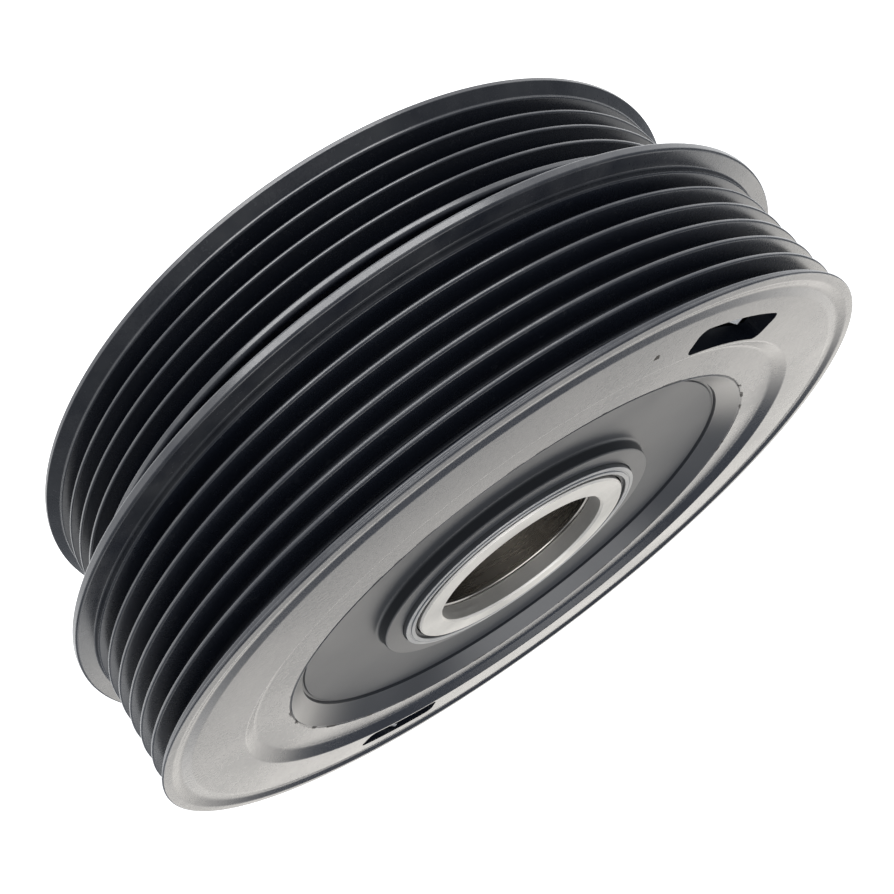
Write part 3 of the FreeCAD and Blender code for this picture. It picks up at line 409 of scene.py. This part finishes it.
def inner_ring_corners(node):
    low, high = bottom(node), top(node)
    inner = BORE
    middle = (low + high) / 2
    land, track = 20.2, 18.95
    row_offset, half_mouth, half_floor = 4.0, 2.17, 0.7
    corners = [(inner + 0.35, low, 0.05), (land, low, 0.2)]
    for row in (middle - row_offset, middle + row_offset):
        corners += [(land, row - half_mouth, 0.05), (track, row - half_floor, 1.2),
                    (track, row + half_floor, 1.2), (land, row + half_mouth, 0.05)]
    corners += [(land, high, 0.2), (inner + 0.35, high, 0.05), (inner, high - 0.35, 0.1),
                (inner, low + 0.35, 0.1)]
    return corners


def dust_case_corners():
    low, high, outer = bottom("dust_seal_case"), top("dust_seal_case"), reach("dust_seal_case")
    wall, inner = outer - 0.8, 23.2
    return [(wall, low, 0), (outer, low, 0.1), (outer, high - 0.15, 0.15),
            (outer - 0.7, high - 0.15, 0.1),
            (outer - 0.8, high - 0.3, 0.1), (outer - 1.0, high - 0.3, 0.1),
            (outer - 1.1, high, 0.15),
            (inner, high, 0.15), (inner, high - 0.5, 0.1), (wall, high - 0.5, 0)]


def dust_lip_corners():
    low, high, outer = bottom("dust_seal_lip"), top("dust_seal_lip"), reach("dust_seal_lip")
    return [(23.2, low, 0.2), (outer, low, 0), (outer, high, 0), (22.45, high, 0.12),
            (23.2, low + 1.0, 0.3)]


# ---------------------------------------------------------------- finishes

class Finish:
    """One procedural material: a Principled shader and the nodes that feed it."""

    def __init__(self, name, colour, roughness, metallic=0.0):
        self.material = bpy.data.materials.new(name)
        self.material.use_nodes = True
        self.tree = self.material.node_tree
        self.shader = self.tree.nodes["Principled BSDF"]
        self.shader.inputs["Base Color"].default_value = (*colour, 1)
        self.shader.inputs["Roughness"].default_value = roughness
        self.shader.inputs["Metallic"].default_value = metallic
        self.place = self.add("ShaderNodeTexCoord").outputs["Object"]

    def add(self, kind, **settings):
        node = self.tree.nodes.new(kind)
        for name, value in settings.items():
            setattr(node, name, value)
        return node

    def join(self, source, target):
        self.tree.links.new(source, target)

    def math(self, operation, first, second=None):
        node = self.add("ShaderNodeMath", operation=operation)
        for socket, value in zip(node.inputs, (first, second)):
            if value is None:
                continue
            if isinstance(value, (int, float)):
                socket.default_value = value
            else:
                self.join(value, socket)
        return node.outputs[0]

    def noise(self, scale, detail=3.0, place=None):
        node = self.add("ShaderNodeTexNoise")
        node.inputs["Scale"].default_value = scale
        node.inputs["Detail"].default_value = detail
        self.join(place or self.place, node.inputs["Vector"])
        return node.outputs["Fac"]

    def split(self):
        node = self.add("ShaderNodeSeparateXYZ")
        self.join(self.place, node.inputs[0])
        return node.outputs[0], node.outputs[1], node.outputs[2]

    def polar(self):
        """Radius, angle and height in the row frame, in metres and radians."""
        x, y, height = self.split()
        square = self.math("ADD", self.math("MULTIPLY", x, x), self.math("MULTIPLY", y, y))
        return self.math("SQRT", square), self.math("ARCTAN2", y, x), height

    def turned_place(self, across, along):
        """Coordinates that stretch a texture round the axis: fine across, long along."""
        radius, angle, height = self.polar()
        node = self.add("ShaderNodeCombineXYZ")
        self.join(self.math("MULTIPLY", radius, across), node.inputs[0])
        self.join(self.math("MULTIPLY", angle, along), node.inputs[1])
        self.join(self.math("MULTIPLY", height, across), node.inputs[2])
        return node.outputs[0]

    def spread(self, value, low, high, to_low, to_high):
        node = self.add("ShaderNodeMapRange")
        self.join(value, node.inputs["Value"])
        for name, number in (("From Min", low), ("From Max", high),
                             ("To Min", to_low), ("To Max", to_high)):
            node.inputs[name].default_value = number
        return node.outputs["Result"]

    def blend(self, share, first, second):
        """Colour between two colours or colour outputs."""
        node = self.add("ShaderNodeMix", data_type="RGBA")
        self.join(share, node.inputs["Factor"])
        for socket, colour in ((node.inputs[6], first), (node.inputs[7], second)):
            if isinstance(colour, tuple):
                socket.default_value = (*colour, 1)
            else:
                self.join(colour, socket)
        return node.outputs[2]

    def colour(self, output):
        self.join(output, self.shader.inputs["Base Color"])

    def roughness(self, output):
        self.join(output, self.shader.inputs["Roughness"])

    def bump(self, layers):
        """Stack of (height output, depth in millimetres) bumps."""
        below = None
        for height, depth in layers:
            node = self.add("ShaderNodeBump")
            node.inputs["Strength"].default_value = 1.0
            node.inputs["Distance"].default_value = depth * MM
            self.join(height, node.inputs["Height"])
            if below is not None:
                self.join(below, node.inputs["Normal"])
            below = node.outputs["Normal"]
        self.join(below, self.shader.inputs["Normal"])


NICK_RADIUS = 61.0
NICK_ANGLE = math.radians(17)
CHIP_WIDTH = 0.45
CHIP_HEIGHT = 46.5


def bruises(finish):
    """Share of bare, dark metal: one nick in the face and chips along the edge of the bowl."""
    x, y, height = finish.split()
    radius, _, _ = finish.polar()
    off_x = finish.math("SUBTRACT", x, NICK_RADIUS * MM * math.cos(NICK_ANGLE))
    off_y = finish.math("SUBTRACT", y, NICK_RADIUS * MM * math.sin(NICK_ANGLE))
    square = finish.math("ADD", finish.math("MULTIPLY", off_x, off_x),
                         finish.math("MULTIPLY", off_y, off_y))
    ragged = finish.math("MULTIPLY", finish.noise(1500, 3), 1.6 * MM)
    nick = finish.math("LESS_THAN", finish.math("ADD", finish.math("SQRT", square), ragged),
                       1.35 * MM)
    edge = finish.math("MULTIPLY", finish.math("GREATER_THAN", radius, SEAM * MM),
                       finish.math("LESS_THAN", radius, (SEAM + CHIP_WIDTH) * MM))
    chipped = finish.math("GREATER_THAN", finish.noise(260, 4), 0.56)
    chips = finish.math("MULTIPLY", edge, finish.math("MULTIPLY", chipped, 0.75))
    upper = finish.math("GREATER_THAN", height, CHIP_HEIGHT * MM)
    return finish.math("MULTIPLY", upper, finish.math("MAXIMUM", nick, chips))


def coat(name, base=(0.008, 0.010, 0.0155), rough=0.26, tips=None, marked=False):
    """Semi-gloss black dip coat: orange peel, faint turning marks, dust and a painted highlight
    along the rib tips.
    """
    finish = Finish(name, base, rough)
    smudge = finish.noise(45, 4)
    grain = finish.noise(1400, 2)
    dust = finish.spread(finish.noise(900, 4), 0.62, 0.74, 0.0, 1.0)
    lines = finish.noise(1.0, 2, finish.turned_place(1500, 3.0))
    shade = finish.blend(smudge, base, tuple(1.5 * part for part in base))
    shade = finish.blend(finish.math("MULTIPLY", dust, 0.04), shade, (0.30, 0.30, 0.29))
    if tips is not None:
        # painted highlight: a patchy lighter grey band along the rib tips, where the tip highlight
        # lines fall
        radius, _, _ = finish.polar()
        near_tip = finish.spread(radius, (tips - 0.30) * MM, (tips + 0.05) * MM, 0.0, 1.0)
        painted_tip_highlight = finish.math("MULTIPLY", near_tip,
                           finish.spread(finish.noise(160, 5), 0.35, 0.7, 0.25, 1.0))
        shade = finish.blend(finish.math("MULTIPLY", painted_tip_highlight, 0.35), shade, (0.12, 0.12, 0.12))
    blur = finish.spread(smudge, 0.3, 0.7, rough - 0.03, rough + 0.04)
    if marked:
        bruise = bruises(finish)
        shade = finish.blend(bruise, shade, (0.05, 0.045, 0.04))
        blur = finish.math("ADD", blur, finish.math("MULTIPLY", bruise, 0.5))
        gloss = finish.spread(bruise, 0.0, 1.0, 0.5, 0.1)
        finish.join(gloss, finish.shader.inputs["Specular IOR Level"])
    finish.colour(shade)
    finish.roughness(finish.math("ADD", blur, finish.spread(grain, 0.3, 0.7, -0.02, 0.02)))
    finish.bump([(grain, 0.002), (lines, 0.0006)])
    return finish.material


def hub_coat(name):
    """Black coat that is dull phosphate in the bowl and semi-gloss on the slope round it."""
    finish = Finish(name, (0.03, 0.03, 0.03), 0.4)
    radius, _, _ = finish.polar()
    slope = finish.spread(radius, SLOPE_FOOT * MM, (SLOPE_FOOT + 0.2) * MM, 0.0, 1.0)
    cloud = finish.noise(60, 5)
    grain = finish.noise(1400, 2)
    dull = finish.blend(cloud, (0.026, 0.028, 0.032), (0.036, 0.038, 0.041))
    finish.colour(finish.blend(slope, dull, (0.012, 0.014, 0.019)))
    finish.join(finish.spread(slope, 0.0, 1.0, 0.22, 0.5),
                finish.shader.inputs["Specular IOR Level"])
    blur = finish.spread(slope, 0.0, 1.0, 0.42, 0.32)
    finish.roughness(finish.math("ADD", blur, finish.spread(cloud, 0.3, 0.7, -0.03, 0.03)))
    finish.bump([(grain, 0.004)])
    return finish.material


def machined_steel(name, base, rough, line_depth=0.002, dark=0.75):
    """Turned or ground steel: fine rings round the axis and a soft stain."""
    finish = Finish(name, base, rough, 1.0)
    lines = finish.noise(1.0, 3, finish.turned_place(2600, 0.4))
    coarse = finish.noise(1.0, 2, finish.turned_place(1200, 0.8))
    stain = finish.noise(70, 5)
    shade = finish.blend(finish.spread(stain, 0.35, 0.7, 0.0, 1.0), base,
                         tuple(dark * part for part in base))
    finish.colour(shade)
    finish.roughness(finish.spread(finish.math("ADD", lines, stain), 0.7, 1.3,
                                   rough - 0.06, rough + 0.08))
    finish.bump([(coarse, line_depth), (lines, line_depth)])
    return finish.material


def plated_steel(name, base, rough):
    """Zinc plate: small cloudy crystals and a light yellow to blue cast."""
    finish = Finish(name, base, rough, 1.0)
    cloud = finish.noise(120, 5)
    grain = finish.noise(1500, 2)
    finish.colour(finish.blend(cloud, base, (base[0] * 0.86, base[1] * 0.9, base[2] * 0.98)))
    finish.roughness(finish.spread(cloud, 0.3, 0.7, rough - 0.07, rough + 0.09))
    finish.bump([(grain, 0.003)])
    return finish.material


def bare_steel(name, base, rough):
    """Rolled or pressed steel: grey patches and fine pits."""
    finish = Finish(name, base, rough, 1.0)
    patch = finish.noise(60, 6)
    pits = finish.noise(1800, 3)
    finish.colour(finish.blend(patch, base, tuple(0.6 * part for part in base)))
    finish.roughness(finish.spread(patch, 0.3, 0.7, rough - 0.08, rough + 0.12))
    finish.bump([(pits, 0.006)])
    return finish.material


def moulded(name, base, rough, depth=0.01):
    """Moulded plastic, resin or rubber with a fine spark-eroded grain."""
    finish = Finish(name, base, rough)
    cloud = finish.noise(90, 3)
    grain = finish.noise(1300, 2)
    finish.colour(finish.blend(cloud, base, tuple(0.75 * part for part in base)))
    finish.roughness(finish.spread(grain, 0.3, 0.7, rough - 0.06, rough + 0.08))
    finish.bump([(grain, depth)])
    return finish.material


def wire(name):
    """Enamelled copper: turns of wire stacked round the axis."""
    base = (0.72, 0.30, 0.12)
    finish = Finish(name, base, 0.28, 1.0)
    turns = finish.add("ShaderNodeTexWave", bands_direction="Z")
    turns.inputs["Scale"].default_value = 300
    finish.join(finish.place, turns.inputs["Vector"])
    tint = finish.noise(200, 3)
    finish.colour(finish.blend(tint, base, (0.55, 0.2, 0.08)))
    finish.roughness(finish.spread(tint, 0.3, 0.7, 0.22, 0.36))
    finish.bump([(turns.outputs["Fac"], 0.12)])
    return finish.material


def make_finishes():
    steel = (0.60, 0.585, 0.555)
    return {
        "black_coat": coat("black_coat"),
        "ground_steel": machined_steel("ground_steel", (0.50, 0.48, 0.46), 0.26),
        "ball_steel": machined_steel("ball_steel", (0.66, 0.66, 0.67), 0.08, 0.0004, 0.95),
        "plain_steel": bare_steel("plain_steel", (0.36, 0.35, 0.34), 0.42),
        "zinc_plate": plated_steel("zinc_plate", (0.27, 0.27, 0.265), 0.46),
        "spring_steel": bare_steel("spring_steel", (0.42, 0.42, 0.44), 0.30),
        "copper_wire": wire("copper_wire"),
        "contact_brass": bare_steel("contact_brass", (0.76, 0.60, 0.28), 0.26),
        "nylon": moulded("nylon", (0.03, 0.03, 0.032), 0.5),
        "cage_nylon": moulded("cage_nylon", (0.62, 0.56, 0.40), 0.45),
        "resin": moulded("resin", (0.02, 0.021, 0.024), 0.25, 0.02),
        "rubber": moulded("rubber", (0.016, 0.016, 0.017), 0.55),
        "lining": moulded("lining", (0.10, 0.085, 0.07), 0.75, 0.03),
        "collar": machined_steel("collar_steel", steel, 0.58, 0.003),
        "bore": machined_steel("bore_steel", (0.41, 0.39, 0.36), 0.27, 0.003),
        "hub_coat": hub_coat("hub_coat"),
        "front_coat": coat("front_coat", tips=FRONT_TIP, marked=True),
        "rear_coat": coat("rear_coat", tips=REAR_TIP),
    }


def dress_nodes(finishes):
    """Give every CAD node a procedural finish in place of its imported one."""
    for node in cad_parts.values():
        for slot in node.material_slots:
            name = slot.material.name.split(".")[0]
            slot.material = finishes[name]


def build_turned_pieces(finishes):
    install(front_pulley(), "front_pulley", "front_drive", finishes["front_coat"])
    install(turned("hub_front", front_hub_corners()), "front_hub", "front_drive",
            finishes["hub_coat"])
    install(turned("pulley_rear", rear_pulley_corners()), "rear_pulley", "rear_drive",
            finishes["rear_coat"])
    install(turned("collar_front", collar_corners()), "front_spacer_ring", "stator",
            finishes["collar"])
    for side in ("front", "rear"):
        node = f"{side}_inner_ring"
        install(turned(f"inner_ring_{side}", inner_ring_corners(node)), node,
                "stator",
                finishes["bore"])
    install(turned("dust_case", dust_case_corners()), "dust_seal_case", "front_drive",
            finishes["zinc_plate"])
    install(turned("dust_lip", dust_lip_corners()), "dust_seal_lip", "front_drive",
            finishes["rubber"])


# ---------------------------------------------------------------- studio

AIM = Vector((9.04, 7.43, 24.5)) * MM
VIEW_AZIMUTH = 46.3
VIEW_ELEVATION = 21.48
VIEW_DISTANCE = 0.17456
VIEW_ROLL = 142.76
LENS = 39.64
FLOOR_HEIGHT = -0.42
FLOOR_SIZE = 6.0


def direction(azimuth, elevation):
    turn, rise = math.radians(azimuth), math.radians(elevation)
    return Vector((math.cos(rise) * math.cos(turn), math.cos(rise) * math.sin(turn),
                   math.sin(rise)))


def facing(towards):
    """Rotation that looks along a direction with the frame's +Z upwards."""
    return towards.to_track_quat("-Z", "Y").to_matrix()


def add_camera():
    camera = bpy.data.objects.new("camera", bpy.data.cameras.new("camera"))
    camera.data.lens = LENS
    camera.data.clip_start = 0.01
    camera.data.clip_end = 20
    outward = direction(VIEW_AZIMUTH, VIEW_ELEVATION)
    turn = facing(-outward) @ Matrix.Rotation(math.radians(VIEW_ROLL), 3, "Z")
    camera.matrix_world = Matrix.Translation(AIM + outward * VIEW_DISTANCE) @ turn.to_4x4()
    bpy.context.scene.collection.objects.link(camera)
    bpy.context.scene.camera = camera


def softbox(name, azimuth, elevation, distance, width, height, radiance, tint=(1, 1, 1)):
    """Rectangular studio light that faces the object."""
    light = bpy.data.lights.new(name, "AREA")
    light.shape = "RECTANGLE"
    light.size = width
    light.size_y = height
    light.energy = radiance * math.pi * width * height
    light.color = tint
    holder = bpy.data.objects.new(name, light)
    outward = direction(azimuth, elevation)
    place = Matrix.Translation(AIM + outward * distance)
    holder.matrix_world = place @ facing(-outward).to_4x4()
    holder.visible_camera = False
    bpy.context.scene.collection.objects.link(holder)


def add_lights():
    softbox("back_box", VIEW_AZIMUTH + 184, 13, 0.9, 1.35, 0.42, 1.9, (1.0, 0.95, 0.87))
    softbox("top_box", VIEW_AZIMUTH, 88, 0.7, 0.6, 0.6, 3.6)
    softbox("key_box", VIEW_AZIMUTH - 9, -33, 0.55, 0.68, 0.14, 10.0)
    softbox("left_box", VIEW_AZIMUTH + 131, 34, 0.8, 0.5, 0.45, 1.3)
    softbox("right_box", VIEW_AZIMUTH - 131, 34, 0.8, 0.5, 0.45, 1.3)


def add_world():
    world = bpy.data.worlds.new("studio")
    world.use_nodes = True
    tree = world.node_tree
    tree.nodes.clear()
    path = tree.nodes.new("ShaderNodeLightPath")
    room = tree.nodes.new("ShaderNodeBackground")
    room.inputs["Color"].default_value = (0.88, 0.94, 1.04, 1)
    room.inputs["Strength"].default_value = 0.34
    backdrop = tree.nodes.new("ShaderNodeBackground")
    backdrop.inputs["Color"].default_value = (1, 1, 1, 1)
    backdrop.inputs["Strength"].default_value = 1.1
    choice = tree.nodes.new("ShaderNodeMixShader")
    output = tree.nodes.new("ShaderNodeOutputWorld")
    tree.links.new(path.outputs["Is Camera Ray"], choice.inputs[0])
    tree.links.new(room.outputs[0], choice.inputs[1])
    tree.links.new(backdrop.outputs[0], choice.inputs[2])
    tree.links.new(choice.outputs[0], output.inputs["Surface"])
    bpy.context.scene.world = world


def add_floor():
    """Wide pale floor well below the object."""
    half = FLOOR_SIZE / 2
    mesh = bpy.data.meshes.new("floor")
    corners = [(-half, -half), (half, -half), (half, half), (-half, half)]
    mesh.from_pydata([(x, y, FLOOR_HEIGHT) for x, y in corners], [], [(0, 1, 2, 3)])
    floor = bpy.data.objects.new("floor", mesh)
    bpy.context.scene.collection.objects.link(floor)
    paper = Finish("paper", (0.9, 0.9, 0.9), 0.8)
    fibre = paper.noise(400, 4)
    paper.colour(paper.blend(fibre, (0.92, 0.92, 0.92), (0.88, 0.88, 0.88)))
    paper.shader.inputs["Emission Color"].default_value = (1, 1, 1, 1)
    paper.shader.inputs["Emission Strength"].default_value = 1.1
    mesh.materials.append(paper.material)


finishes = make_finishes()
dress_nodes(finishes)
build_turned_pieces(finishes)
add_camera()
add_world()
add_lights()
add_floor()
bpy.context.scene.view_settings.view_transform = "Standard"
